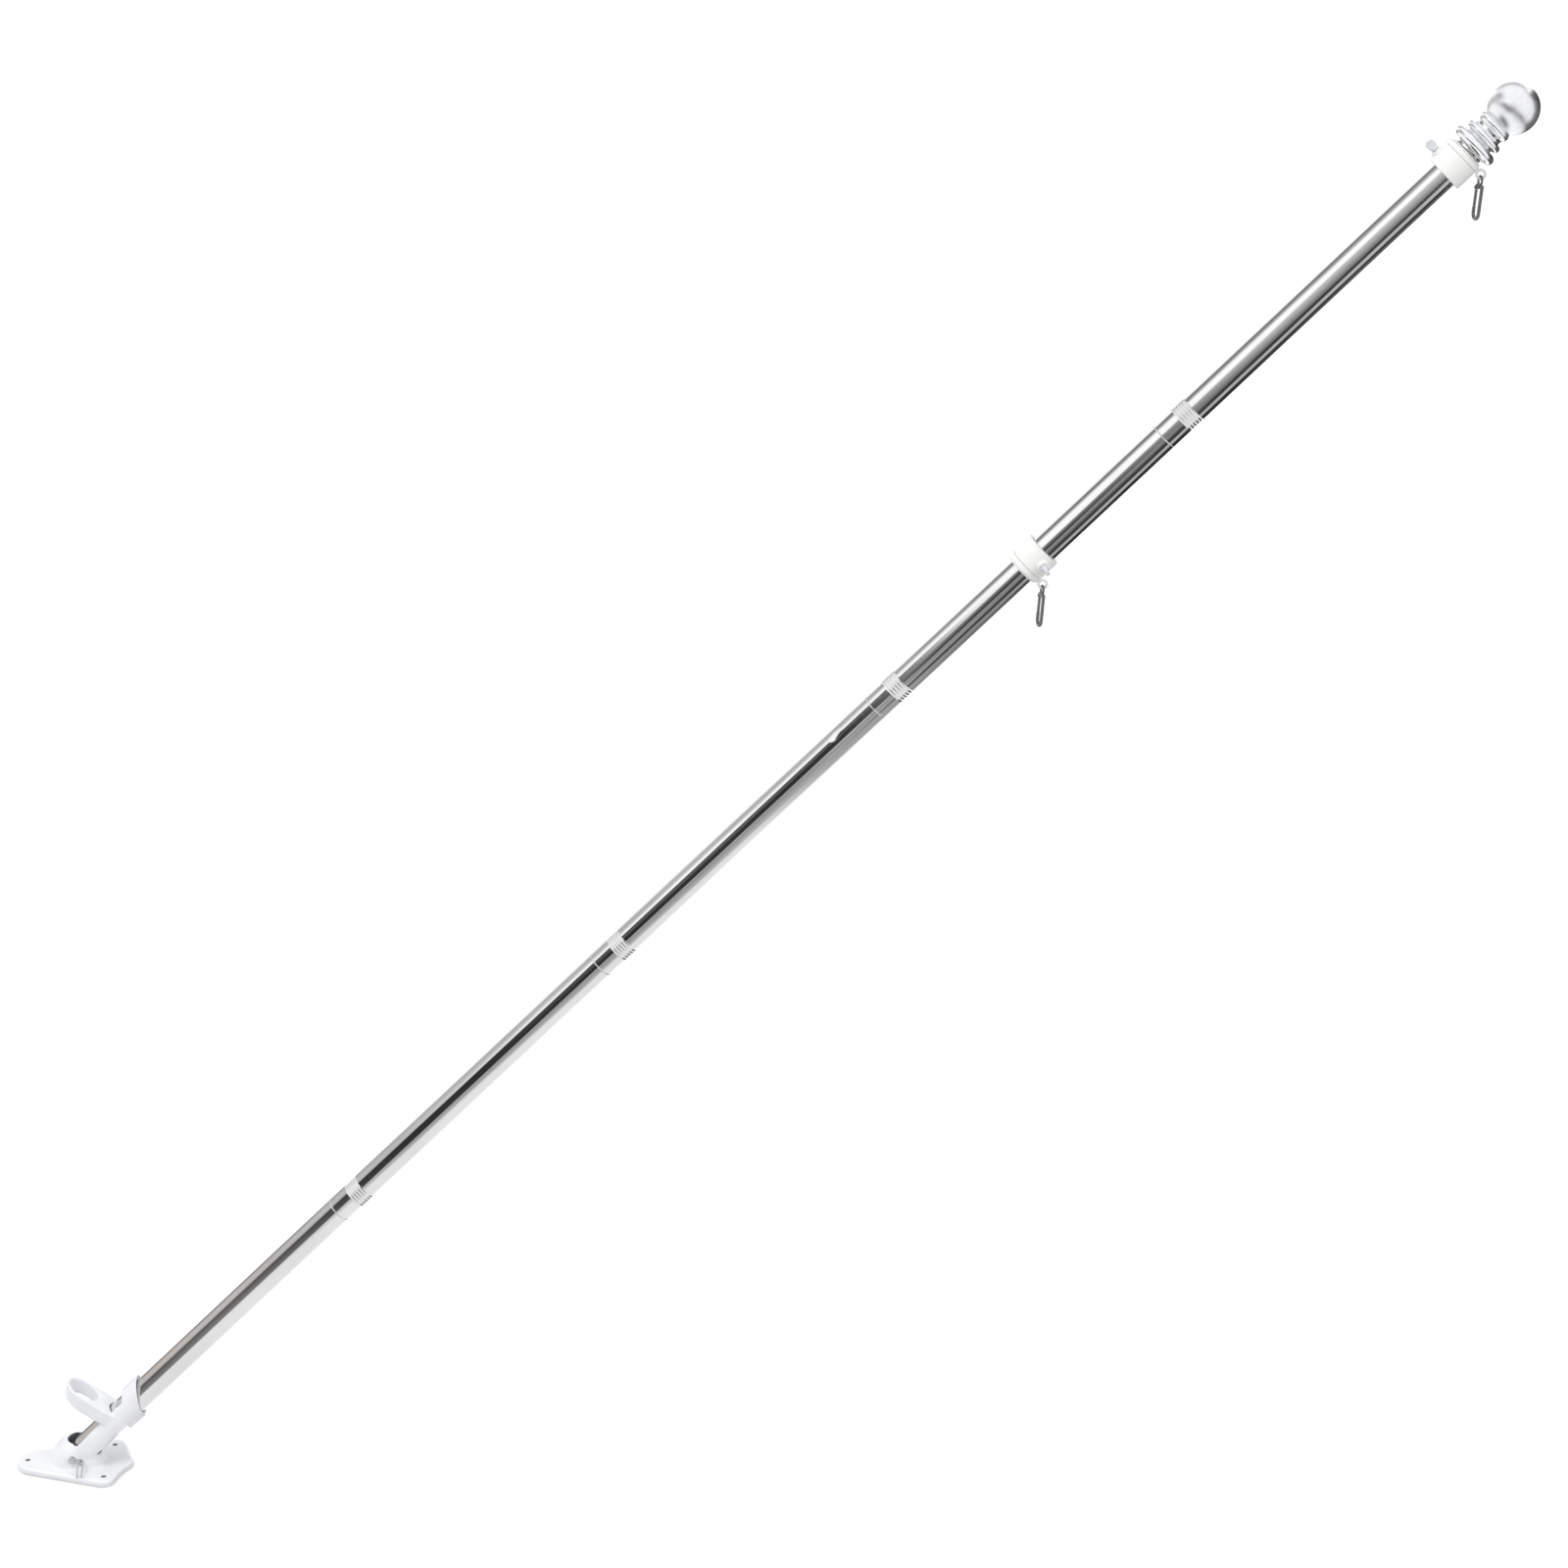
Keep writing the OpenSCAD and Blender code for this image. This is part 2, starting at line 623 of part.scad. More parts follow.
bracket_body();
bracket_socket();
lock_pin();
spring_clip();
tube(0, seam(1), false);  // tube_1
tube(seam(1), seam(2), true);  // tube_2
dented_tube();  // tube_3
tube(seam(3), seam(4), true);  // tube_4
tube(seam(4), seam(5), true);  // tube_5
insert(1);  // insert_1
insert(2);  // insert_2
insert(3);  // insert_3
insert(4);  // insert_4
finial();
finial_plug();
at_lower() collar(-lower_turn);  // collar_lower
at_lower() swivel();  // swivel_lower
at_lower() thumb_screw(-lower_turn);  // screw_lower
at_lower() wing(-lower_turn, lower_wing);  // wing_lower
hang_lower() clip_body();  // clip_body_lower
hang_lower() clip_rivet();  // clip_rivet_lower
hang_lower() clip_gate();  // clip_gate_lower
at_upper() collar(upper_turn);  // collar_upper
at_upper() swivel();  // swivel_upper
at_upper() thumb_screw(upper_turn);  // screw_upper
at_upper() wing(upper_turn, upper_wing);  // wing_upper
hang_upper() clip_body();  // clip_body_upper
hang_upper() clip_rivet();  // clip_rivet_upper
hang_upper() clip_gate();  // clip_gate_upper
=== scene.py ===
import json
from math import cos, pi, radians, sin

import bmesh
import bpy
from mathutils import Matrix, Vector


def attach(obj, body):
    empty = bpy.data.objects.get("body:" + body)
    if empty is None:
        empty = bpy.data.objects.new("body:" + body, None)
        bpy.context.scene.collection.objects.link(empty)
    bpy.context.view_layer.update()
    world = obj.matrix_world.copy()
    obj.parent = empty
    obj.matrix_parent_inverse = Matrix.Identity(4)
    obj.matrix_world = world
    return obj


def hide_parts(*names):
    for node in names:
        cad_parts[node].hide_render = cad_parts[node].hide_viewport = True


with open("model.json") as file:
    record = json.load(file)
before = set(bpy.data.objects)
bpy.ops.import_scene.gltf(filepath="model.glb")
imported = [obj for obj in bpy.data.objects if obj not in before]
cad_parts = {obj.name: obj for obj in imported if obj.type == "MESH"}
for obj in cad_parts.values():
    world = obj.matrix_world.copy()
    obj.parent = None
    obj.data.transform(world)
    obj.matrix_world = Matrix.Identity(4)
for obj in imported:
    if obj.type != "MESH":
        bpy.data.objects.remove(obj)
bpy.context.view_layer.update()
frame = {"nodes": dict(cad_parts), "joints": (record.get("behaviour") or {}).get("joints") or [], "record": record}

NODES = frame["nodes"]
JOINTS = {joint["name"]: joint for joint in frame["joints"]}
BODY_OF = {node: body for body, nodes in frame["record"]["behaviour"]["bodies"].items() for node in nodes}
MOUNTS = {mount["name"]: mount for mount in frame["record"]["mounts"]}
SLOT_OF = {part["node"]: part["material_slot"] for part in frame["record"]["subparts"]}
MM = 0.001

# The pole's own axes: its local Z runs up the pole and its local X points down, square to it
POLE = Vector(JOINTS["lower_swivel"]["axis"]).normalized()
LEAN = POLE.angle(Vector((0, 0, 1)))
UNDER = Vector((POLE.z, 0, -POLE.x))
ACROSS = Vector((0, 1, 0))
ON_POLE = Vector(JOINTS["lower_swivel"]["pos_m"])
FOOT = ON_POLE - POLE * (ON_POLE.x / POLE.x)
POLE_FRAME = Matrix.Translation(FOOT) @ Matrix((UNDER, ACROSS, POLE)).transposed().to_4x4()

# Turned pieces: corners round the pole, the sharpest edge that is smooth, steps along the finial's outline,
# the rounds that ease it, and the shortest length that counts
TURN_STEPS = 160
SMOOTH_EDGE = radians(50)
FINE_STEP = 0.15 * MM
FINIAL_ROUNDS = 8
TINY = 0.002 * MM

# The eased lip at a tube's end, and how far past the end a node's own lip can reach
LIP = 0.3 * MM
LIP_REACH = 2 * MM

# The rolled grooves: how many, their pitch and depth, and the steps along each. A node's point belongs to
# them when its depth is between the least and the most, within their reach of the tube's lower end.
GROOVES = 5
GROOVE_PITCH = 3 * MM
GROOVE_DEPTH = 0.55 * MM
GROOVE_STEPS = 16
GROOVE_LEAST = 0.2 * MM
GROOVE_MOST = 0.58 * MM
GROOVE_REACH = 60 * MM

# The dent: the least depth of a node's point in it, how far the finer steps reach and how long they are, its
# half length and its half width
DENT_LEAST = 0.02 * MM
DENT_REACH = 12 * MM
DENT_STEP = 0.6 * MM
DENT_LONG = 9 * MM
DENT_WIDE = 4.5 * MM

# The bracket: its grid and its rounds of smoothing
BRACKET_GRID = 0.75 * MM
BRACKET_ROUNDS = 6

# Pieces from one node each, with their grid and their rounds of smoothing
PAIRED = [
    ("collar_%s_shell", "collar_%s", 0.4 * MM, 3),
    ("swivel_%s_ring", "swivel_%s", 0.3 * MM, 3),
    ("wing_%s_knob", "wing_%s", 0.25 * MM, 8),
    ("clip_%s_hook", "clip_body_%s", 0.22 * MM, 4),
    ("clip_%s_gate", "clip_gate_%s", 0.2 * MM, 3),
]
SINGLE = [
    ("pin", "lock_pin", 0.25 * MM, 3),
    ("spring", "spring_clip", 0.15 * MM, 2),
]

# The well of the second socket: how far past its bore, and between which heights, its inside is painted dark as
# shade
WELL_MARGIN = 0.2 * MM
WELL_FLOOR = 5 * MM
WELL_TOP = 29.3 * MM

# How far below the plate's top a screw hole's wall starts to be painted dark as shade
HOLE_RIM = 0.6 * MM

# The mouth ring's outer edge below the pole, which is rounded: how far past the sleeve's start there is no
# ring yet, how deep and how far along the rounding goes, and its rounds of smoothing
RING_CLEAR = 5 * MM
RING_SKIN = 3 * MM
RING_REACH = 12 * MM
RING_ROUNDS = 50

# How much thinner the sleeve's wall is made, the radii between which the cut grows, those between which it
# goes back to nothing, and where along the pole it grows
SLEEVE_CUT = 1.2 * MM
SLEEVE_WALL = (14.4 * MM, 17.0 * MM)
SLEEVE_BEYOND = (18.4 * MM, 24.0 * MM)
SLEEVE_START = (26 * MM, 40 * MM)

# Plain level of light on all that isn't bright metal
SOFT_LIGHT = 0.87

# Soft lamps: name, place, size and watts
LAMPS = [
    ("key lamp", (-1.2, -1.6, 3.4), 1.6, 42),
    ("side lamp", (3.2, -1.8, 2.4), 1.4, 16),
]

# The floor: its half width, how far it lies below the plate, its grey, and its glow, first for other rays
# and then for the camera
FLOOR_REACH = 60
FLOOR_DROP = 0.5 * MM
FLOOR_GREY = 0.30
FLOOR_GLOW = (0.3, 0.8)

# Painted contact shadow: where the object is this near, the floor's glow turns dark: the open shares between which
# it does, and how dark
CONTACT = 5 * MM
CONTACT_OPEN = (0.2, 0.8)
CONTACT_DARK = 0.45

# The parts of a noise's range over which the materials change
CLOUDS = (0.35, 0.75)
TINTS = (0.3, 0.7)
PATCHES = (0.3, 0.75)
SPOTS = (0.3, 0.8)
FLECKS = (0.35, 0.8)

# Polished steel: scales of its polishing rings, smudges and waves, across and along the pole, its
# roughness, what the rings add to it, its tints, the heights of rings and waves, and its relief
STEEL_RINGS = (12, 12, 420)
STEEL_SMUDGES = (28, 28, 9)
STEEL_WAVES = (16, 16, 5)
STEEL_ROUGH = (0.04, 0.08)
RINGS_ROUGH = 0.03
STEEL_TINTS = ((0.735, 0.73, 0.725), (0.80, 0.797, 0.79))
RINGS_HIGH = 0.004
WAVES_HIGH = 0.15
STEEL_RELIEF = (0.35, 0.6 * MM)

# Bright plating: name, scale of its clouds, and the roughness and the tints that they change between. Its
# waves have a share of the clouds' scale.
PLATINGS = {
    "finial": ("chrome plating", 300, (0.05, 0.11), ((0.88, 0.88, 0.88), (0.82, 0.83, 0.84))),
    "steel": ("bright steel", 500, (0.06, 0.14), ((0.55, 0.55, 0.55), (0.517, 0.5225, 0.528))),
    "clip": ("dark plating", 500, (0.05, 0.13), ((0.20, 0.20, 0.20), (0.188, 0.19, 0.192))),
}
PLATING_WAVES = 0.25
PLATING_RELIEF = (0.05, 0.8 * MM)

# The finial's ball: how much rougher it is than the beads, and how softly that starts
BALL_ROUGH = 0.24
BALL_EDGE = 2 * MM

# The bracket's coat: scales of its peel and its dust, its tints, roughness, relief and clear coat
COAT_PEEL = 700
COAT_DUST = 45
COAT_TINTS = ((0.875, 0.89, 0.915), (0.835, 0.85, 0.88))
COAT_ROUGH = (0.30, 0.42)
COAT_RELIEF = (0.10, 0.2 * MM)
COAT_CLEAR = 0.15

# Satin surfaces: name and tints
SATINS = {
    # painted shade: the inside of the second socket's well, much darker than the coat
    "well": ("painted well shade", (0.16, 0.18, 0.20), (0.10, 0.115, 0.13)),
    # painted shade: the walls of the screw holes, darker than the coat
    "hole": ("painted hole shade", (0.42, 0.44, 0.46), (0.32, 0.33, 0.35)),
    "insert": ("black plastic", (0.03, 0.03, 0.03), (0.02, 0.02, 0.02)),
    "collar": ("white nylon", (0.90, 0.90, 0.885), (0.87, 0.87, 0.855)),
    "wing": ("grey nylon", (0.74, 0.76, 0.79), (0.64, 0.66, 0.69)),
}
SATIN_CLOUDS = 160
SATIN_GRAIN = 900
SATIN_ROUGH = (0.32, 0.45)
SATIN_RELIEF = (0.08, 0.2 * MM)

# How many layers of finer noise the clouds, the smudges and the dust have
FEW_LAYERS = 3
MORE_LAYERS = 4
MANY_LAYERS = 5

# Camera, as the photograph was taken
AIM = Vector((0.67135, 0, 0.69431))
AZIMUTH = radians(-0.033)
ELEVATION = radians(18.806)
ROLL = radians(0.238)
DISTANCE = 3.2151
LENS = 82.23
SENSOR = 36.0
FARTHEST = 100


def add_camera():
    data = bpy.data.cameras.new("camera")
    data.lens = LENS
    data.sensor_width = SENSOR
    data.clip_end = FARTHEST
    camera = bpy.data.objects.new("camera", data)
    bpy.context.scene.collection.objects.link(camera)
    look = Vector((sin(AZIMUTH) * cos(ELEVATION), cos(AZIMUTH) * cos(ELEVATION), -sin(ELEVATION)))
    turn = look.to_track_quat("-Z", "Y").to_matrix().to_4x4()
    camera.matrix_world = Matrix.Translation(AIM - look * DISTANCE) @ turn @ Matrix.Rotation(ROLL, 4, "Z")
    bpy.context.scene.camera = camera


class Shader:
    """Short names for the nodes that the materials and the world are made of."""

    def __init__(self, owner):
        owner.use_nodes = True
        self.owner = owner
        self.tree = owner.node_tree
        self.tree.nodes.clear()

    def node(self, kind, inputs=(), **settings):
        made = self.tree.nodes.new(kind)
        for name, value in settings.items():
            setattr(made, name, value)
        for name, value in dict(inputs).items():
            self.plug(made.inputs[name], value)
        return made

    def plug(self, socket, value):
        if isinstance(value, bpy.types.NodeSocket):
            self.tree.links.new(value, socket)
        else:
            socket.default_value = value

    def math(self, operation, first, second=0.0):
        return self.node("ShaderNodeMath", {0: first, 1: second}, operation=operation).outputs[0]

    def dot(self, vector, axis):
        made = self.node("ShaderNodeVectorMath", {0: vector, 1: tuple(axis)}, operation="DOT_PRODUCT")
        return made.outputs["Value"]

    def ramp(self, value, low, high, to_low=0.0, to_high=1.0, smooth=True):
        kind = "SMOOTHSTEP" if smooth else "LINEAR"
        inputs = {"Value": value, "From Min": low, "From Max": high, "To Min": to_low, "To Max": to_high}
        return self.node("ShaderNodeMapRange", inputs, interpolation_type=kind).outputs["Result"]

    def mix(self, share, first, second):
        made = self.node("ShaderNodeMix", {0: share, 2: first, 3: second}, data_type="FLOAT")
        return made.outputs[0]

    def colours(self, share, first, second):
        made = self.node("ShaderNodeMix", {0: share, 6: (*first, 1), 7: (*second, 1)}, data_type="RGBA")
        return made.outputs[2]

    def along_pole(self, stretch):
        """The piece's own coordinates, turned to the pole's axes and stretched."""
        place = self.node("ShaderNodeTexCoord").outputs["Object"]
        turned = self.node("ShaderNodeMapping", {"Vector": place, "Rotation": (0, -LEAN, 0)})
        scale = {0: turned.outputs[0], 1: stretch}
        return self.node("ShaderNodeVectorMath", scale, operation="MULTIPLY").outputs[0]

    def noise(self, scale, detail=2.0, place=None):
        if place is None:
            place = self.node("ShaderNodeTexCoord").outputs["Object"]
        inputs = {"Vector": place, "Scale": scale, "Detail": detail}
        return self.node("ShaderNodeTexNoise", inputs).outputs["Fac"]

    def bump(self, height, strength, distance):
        inputs = {"Height": height, "Strength": strength, "Distance": distance}
        return self.node("ShaderNodeBump", inputs).outputs["Normal"]

    def surface(self, **inputs):
        names = {name.replace("_", " "): value for name, value in inputs.items()}
        made = self.node("ShaderNodeBsdfPrincipled", names)
        self.finish(made.outputs[0])

    def finish(self, output):
        is_world = isinstance(self.owner, bpy.types.World)
        kind = "ShaderNodeOutputWorld" if is_world else "ShaderNodeOutputMaterial"
        self.plug(self.node(kind).inputs["Surface"], output)


# The studio that bright metal reflects. A place in it is an angle round the pole, from the direction that
# faces the camera and growing downwards, and a slope along the pole, LOW at the bracket and HIGH at the
# finial. Its light is warm between two slopes, down to an angle. Its brightness makes up for what the steel
# takes away.
FACING = radians(-13.7)
LOW = -0.45
MID = -0.12
HIGH = 0.02
WARM = (1.0, 0.94, 0.90)
COOL = (0.985, 0.99, 1.0)
WARM_START = -0.54
WARM_END = -0.38
WARM_ABOVE = (-60, -10)
STEEL_SHINE = 0.78
PLAIN_WALL = 0.77

# Each band of the studio: brightness at its two edges, the angles of its two edges at LOW, MID and HIGH,
# the softness of the edges, and the slopes between which it fades in and fades out
BANDS = [
    ("ceiling by the bracket", (0.20, 0.24),
     (-220, -220, -220), (-140, -140, -140), 30, None, (-0.46, -0.28)),
    ("ceiling", (0.75, 0.70), (-220, -220, -220), (-150, -120, -120), 40, (-0.42, -0.30), (-0.28, -0.19)),
    ("bright ceiling", (1.0, 1.0), (-220, -220, -220), (-165, -108, -110), 34, (-0.28, -0.19), None),
    ("wall by the bracket", (0.42, 0.44), (-120, -120, -120), (-40, -40, -40), 20, None, (-0.37, -0.30)),
    ("cornice", (0.36, 0.56), (-150, -106, -108), (-78, -62, -62), 30, None, None),
    ("dark cornice by the bracket", (0.20, 0.22),
     (-152, -150, -150), (-130, -130, -130), 26, None, (-0.42, -0.36)),
    ("dark cornice", (0.17, 0.17), (-120, -103, -106), (-96, -80, -82), 22, (-0.22, -0.13), None),
    ("grey wall", (0.28, 0.62), (-92, -82, -84), (-62, -60, -50), 10, (-0.17, -0.12), None),
    ("window", (0.85, 1.02), (-80, -68, -60), (-54, -40, -36), 14, (-0.38, -0.28), None),
    ("window's far end", (1.02, 1.0), (-60, -58, -50), (-38, -15, -24), 10, (-0.20, -0.14), None),
    ("dark hall", (0.02, 0.03), (-60, -40, -40), (-4, 20, 20), 12, None, (-0.20, -0.15)),
    ("hall by the bracket", (0.09, 0.22), (-58, -58, -58), (0, 0, 0), 10, None, (-0.43, -0.37)),
    ("lamp in the hall", (0.11, 0.12), (-44, -34, -34), (-30, -20, -20), 8, (-0.34, -0.28), (-0.20, -0.15)),
    ("doorway", (0.24, 0.48), (-2, 22, 22), (2, 112, 150), 14, (-0.42, -0.36), (-0.23, -0.17)),
    ("far room", (0.19, 0.10), (-32, -12, -12), (64, 64, 64), 12, (-0.21, -0.16), None),
    ("dark end of the hall", (0.05, 0.05), (-4, 4, 4), (12, 26, 26), 14, (-0.20, -0.17), (-0.13, -0.08)),
    ("streak in the far room", (0.32, 0.20),
     (30, 24, 24), (50, 40, 40), 12, (-0.24, -0.20), (-0.10, -0.06)),
    ("pale door", (0.58, 0.08), (-20, -14, -24), (56, 50, 52), 14, (-0.11, -0.04), None),
    ("table", (0.38, 0.34), (44, 44, 44), (150, 150, 150), 30, (-0.25, -0.21), (-0.17, -0.12)),
    ("dark panel", (0.08, 0.16), (60, 60, 50), (112, 108, 88), 10, (-0.20, -0.14), None),
    ("dark skirting", (0.03, 0.04), (46, 55, 40), (70, 74, 56), 12, (-0.22, -0.17), None),
    ("dark floor", (0.03, 0.005), (110, 106, 88), (220, 220, 220), 16, (-0.21, -0.13), None),
    ("bright skirting", (0.45, 0.50), (100, 84, 60), (118, 102, 86), 14, (-0.17, -0.13), None),
    ("stripe on the dark floor", (0.14, 0.12), (120, 120, 120), (144, 144, 144), 18, (-0.07, -0.01), None),
    ("bright floor", (0.98, 0.98), (130, 130, 130), (220, 220, 220), 50, None, (-0.25, -0.18)),
    ("end wall", (0.90, 0.80), (-140, -140, -140), (104, 104, 104), 24, (0.03, 0.08), None),
    ("cornice of the end wall", (0.30, 0.45), (-150, -150, -150), (-122, -122, -122), 14, (0.0, 0.1), None),
    ("wall behind the bracket", (0.88, 0.88),
     (-260, -260, -260), (260, 260, 260), 30, None, (-0.56, -0.49)),
    ("dark end behind the bracket", (0.01, 0.01),
     (-35, -35, -35), (260, 260, 260), 30, None, (-0.92, -0.80)),
]


def edge_angle(s, slope, angles):
    """The angle of a band's edge, which bends at the slope MID."""
    near = s.ramp(slope, LOW, MID, angles[0], angles[1], smooth=False)
    far = s.ramp(slope, MID, HIGH, 0, angles[2] - angles[1], smooth=False)
    return s.math("ADD", near, far)


def studio_angle(s, direction):
    """The angle of a direction round the pole, in degrees."""
    facing = -ACROSS * cos(FACING) + UNDER * sin(FACING)
    below = ACROSS * sin(FACING) + UNDER * cos(FACING)
    return s.math("DEGREES", s.math("ARCTAN2", s.dot(direction, below), s.dot(direction, facing)))


def studio(s):
    """Brightness of the studio in a direction, as bright metal sees it."""
    direction = s.node("ShaderNodeTexCoord").outputs["Generated"]
    angle = studio_angle(s, direction)
    slope = s.dot(direction, POLE)
    value = PLAIN_WALL
    for _, levels, upper, lower, soft, fade_in, fade_out in BANDS:
        top = edge_angle(s, slope, upper)
        bottom = edge_angle(s, slope, lower)
        from_top = s.math("SUBTRACT", angle, top)
        from_bottom = s.math("SUBTRACT", bottom, angle)
        edge = soft / 2
        share = s.math("MULTIPLY", s.ramp(from_top, -edge, edge), s.ramp(from_bottom, -edge, edge))
        if fade_in:
            share = s.math("MULTIPLY", share, s.ramp(slope, *fade_in))
        if fade_out:
            share = s.math("MULTIPLY", share, s.ramp(slope, *fade_out, 1, 0))
        width = s.math("ADD", from_top, from_bottom)
        place = s.math("DIVIDE", from_top, s.math("MAXIMUM", width, 1.0))
        level = s.ramp(place, 0, 1, *levels, smooth=False)
        value = s.mix(share, value, level)
    return s.math("DIVIDE", value, STEEL_SHINE)


def add_world():
    """White behind the object, soft plain light for its colours, and the studio for its reflections."""
    world = bpy.data.worlds.new("studio")
    bpy.context.scene.world = world
    s = Shader(world)
    path = s.node("ShaderNodeLightPath").outputs
    plain = s.mix(path["Is Camera Ray"], SOFT_LIGHT, 1.0)
    soft = s.node("ShaderNodeBackground", {"Color": (1, 1, 1, 1), "Strength": plain}).outputs[0]
    direction = s.node("ShaderNodeTexCoord").outputs["Generated"]
    slope = s.dot(direction, POLE)
    neutral = s.math("ADD", s.ramp(slope, LOW, WARM_END), s.ramp(slope, WARM_START, LOW, 1, 0))
    neutral = s.math("MAXIMUM", neutral, s.ramp(studio_angle(s, direction), *WARM_ABOVE))
    light = s.colours(neutral, WARM, COOL)
    room = s.node("ShaderNodeBackground", {"Color": light, "Strength": studio(s)}).outputs[0]
    s.finish(s.node("ShaderNodeMixShader", {0: path["Is Glossy Ray"], 1: soft, 2: room}).outputs[0])


def add_lamp(name, place, size, watts):
    """A soft square lamp that points at the middle of the pole and shows in no reflection."""
    data = bpy.data.lights.new(name, "AREA")
    data.size = size
    data.energy = watts
    lamp = bpy.data.objects.new(name, data)
    bpy.context.scene.collection.objects.link(lamp)
    place = Vector(place)
    turn = (AIM - place).to_track_quat("-Z", "Y").to_matrix().to_4x4()
    lamp.matrix_world = Matrix.Translation(place) @ turn
    lamp.visible_glossy = False


def add_floor():
    """A white floor under the plate. It keeps the object's shadow, its glow has a painted contact shadow near the
    object, and bright metal looks through it.
    """
    mesh = bpy.data.meshes.new("floor")
    corners = [(x * FLOOR_REACH, y * FLOOR_REACH, 0) for x, y in ((-1, -1), (1, -1), (1, 1), (-1, 1))]
    mesh.from_pydata(corners, [], [(0, 1, 2, 3)])
    floor = bpy.data.objects.new("floor", mesh)
    bpy.context.scene.collection.objects.link(floor)
    floor.location.z = -FLOOR_DROP
    material = bpy.data.materials.new("floor")
    mesh.materials.append(material)
    s = Shader(material)
    path = s.node("ShaderNodeLightPath").outputs
    grey = (FLOOR_GREY, FLOOR_GREY, FLOOR_GREY, 1)
    matte = s.node("ShaderNodeBsdfDiffuse", {"Color": grey}).outputs[0]
    # painted contact shadow: the glow is dimmed where ambient occlusion finds the object near
    near = s.node("ShaderNodeAmbientOcclusion", {"Distance": CONTACT}, samples=1).outputs["AO"]
    glow = s.mix(path["Is Camera Ray"], *FLOOR_GLOW)
    level = s.math("MULTIPLY", glow, s.ramp(near, *CONTACT_OPEN, CONTACT_DARK, 1))
    light = s.node("ShaderNodeEmission", {"Color": (1, 1, 1, 1), "Strength": level}).outputs[0]
    paper = s.node("ShaderNodeAddShader", {0: matte, 1: light}).outputs[0]
    clear = s.node("ShaderNodeBsdfTransparent").outputs[0]
    s.finish(s.node("ShaderNodeMixShader", {0: path["Is Glossy Ray"], 1: paper, 2: clear}).outputs[0])


def steel():
    """Polished steel tube: faint rings and smudges from polishing and handling."""
    s = Shader(bpy.data.materials.new("polished steel tube"))
    rings = s.noise(1, FEW_LAYERS, s.along_pole(STEEL_RINGS))
    smudge = s.noise(1, MORE_LAYERS, s.along_pole(STEEL_SMUDGES))
    wave = s.noise(1, 1, s.along_pole(STEEL_WAVES))
    rough = s.math("ADD", s.ramp(smudge, *CLOUDS, *STEEL_ROUGH), s.ramp(rings, *SPOTS, 0, RINGS_ROUGH))
    tint = s.colours(s.ramp(smudge, *TINTS), *STEEL_TINTS)
    height = s.math("ADD", s.math("MULTIPLY", rings, RINGS_HIGH), s.math("MULTIPLY", wave, WAVES_HIGH))
    s.surface(Base_Color=tint, Metallic=1.0, Roughness=rough, Normal=s.bump(height, *STEEL_RELIEF))
    return s.owner


def plating(name, grain, rough, tints, ball=False):
    """Bright plating with a faint cloudiness and slow waves, which can be duller on the finial's ball."""
    s = Shader(bpy.data.materials.new(name))
    cloud = s.noise(grain, FEW_LAYERS)
    dull = s.ramp(cloud, *CLOUDS, *rough)
    if ball:
        dull = s.math("ADD", dull, ball_roughness(s))
    tint = s.colours(s.ramp(cloud, *TINTS), *tints)
    normal = s.bump(s.noise(grain * PLATING_WAVES, 1), *PLATING_RELIEF)
    s.surface(Base_Color=tint, Metallic=1.0, Roughness=dull, Normal=normal)
    return s.owner


def ball_roughness(s):
    """Roughness that only the finial's ball has, and not the beads below it."""
    low, high = ends("finial")
    radius = max(out for along, out in along_and_out("finial") if along > (low + high) / 2)
    place = s.node("ShaderNodeTexCoord").outputs["Object"]
    past = s.math("SUBTRACT", s.dot(place, POLE), FOOT.dot(POLE) + high - 2 * radius)
    return s.ramp(past, -BALL_EDGE, BALL_EDGE, 0, BALL_ROUGH)


def white_coat():
    """The bracket's white powder coat, satin, with a fine orange peel and faint dust in its texture."""
    s = Shader(bpy.data.materials.new("white coat"))
    dust = s.noise(COAT_DUST, MANY_LAYERS)
    tint = s.colours(s.ramp(dust, *FLECKS), *COAT_TINTS)
    rough = s.ramp(dust, *SPOTS, *COAT_ROUGH)
    normal = s.bump(s.noise(COAT_PEEL), *COAT_RELIEF)
    s.surface(Base_Color=tint, Roughness=rough, Normal=normal, Coat_Weight=COAT_CLEAR)
    return s.owner


def satin(name, light, dark):
    """A satin surface with a faint cloudiness and a fine grain."""
    s = Shader(bpy.data.materials.new(name))
    cloud = s.noise(SATIN_CLOUDS, MORE_LAYERS)
    tint = s.colours(s.ramp(cloud, *PATCHES), light, dark)
    rough = s.ramp(cloud, *SPOTS, *SATIN_ROUGH)
    s.surface(Base_Color=tint, Roughness=rough, Normal=s.bump(s.noise(SATIN_GRAIN), *SATIN_RELIEF))
    return s.owner


def add_piece(name, mesh, materials, *nodes):
    """Puts a mesh in the scene in place of CAD nodes, on their body, with their slot and its material."""
    piece = bpy.data.objects.new(name, mesh)
    bpy.context.scene.collection.objects.link(piece)
    mesh.materials.clear()
    mesh.materials.append(materials[SLOT_OF[nodes[0]]])
    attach(piece, BODY_OF[nodes[0]])
    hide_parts(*nodes)
    return piece


def along_and_out(node):
    """Each point of a node as its distance along the pole from the foot and its distance from the axis."""
    places = [vertex.co - FOOT for vertex in NODES[node].data.vertices]
    return [(place.dot(POLE), place.cross(POLE).length) for place in places]


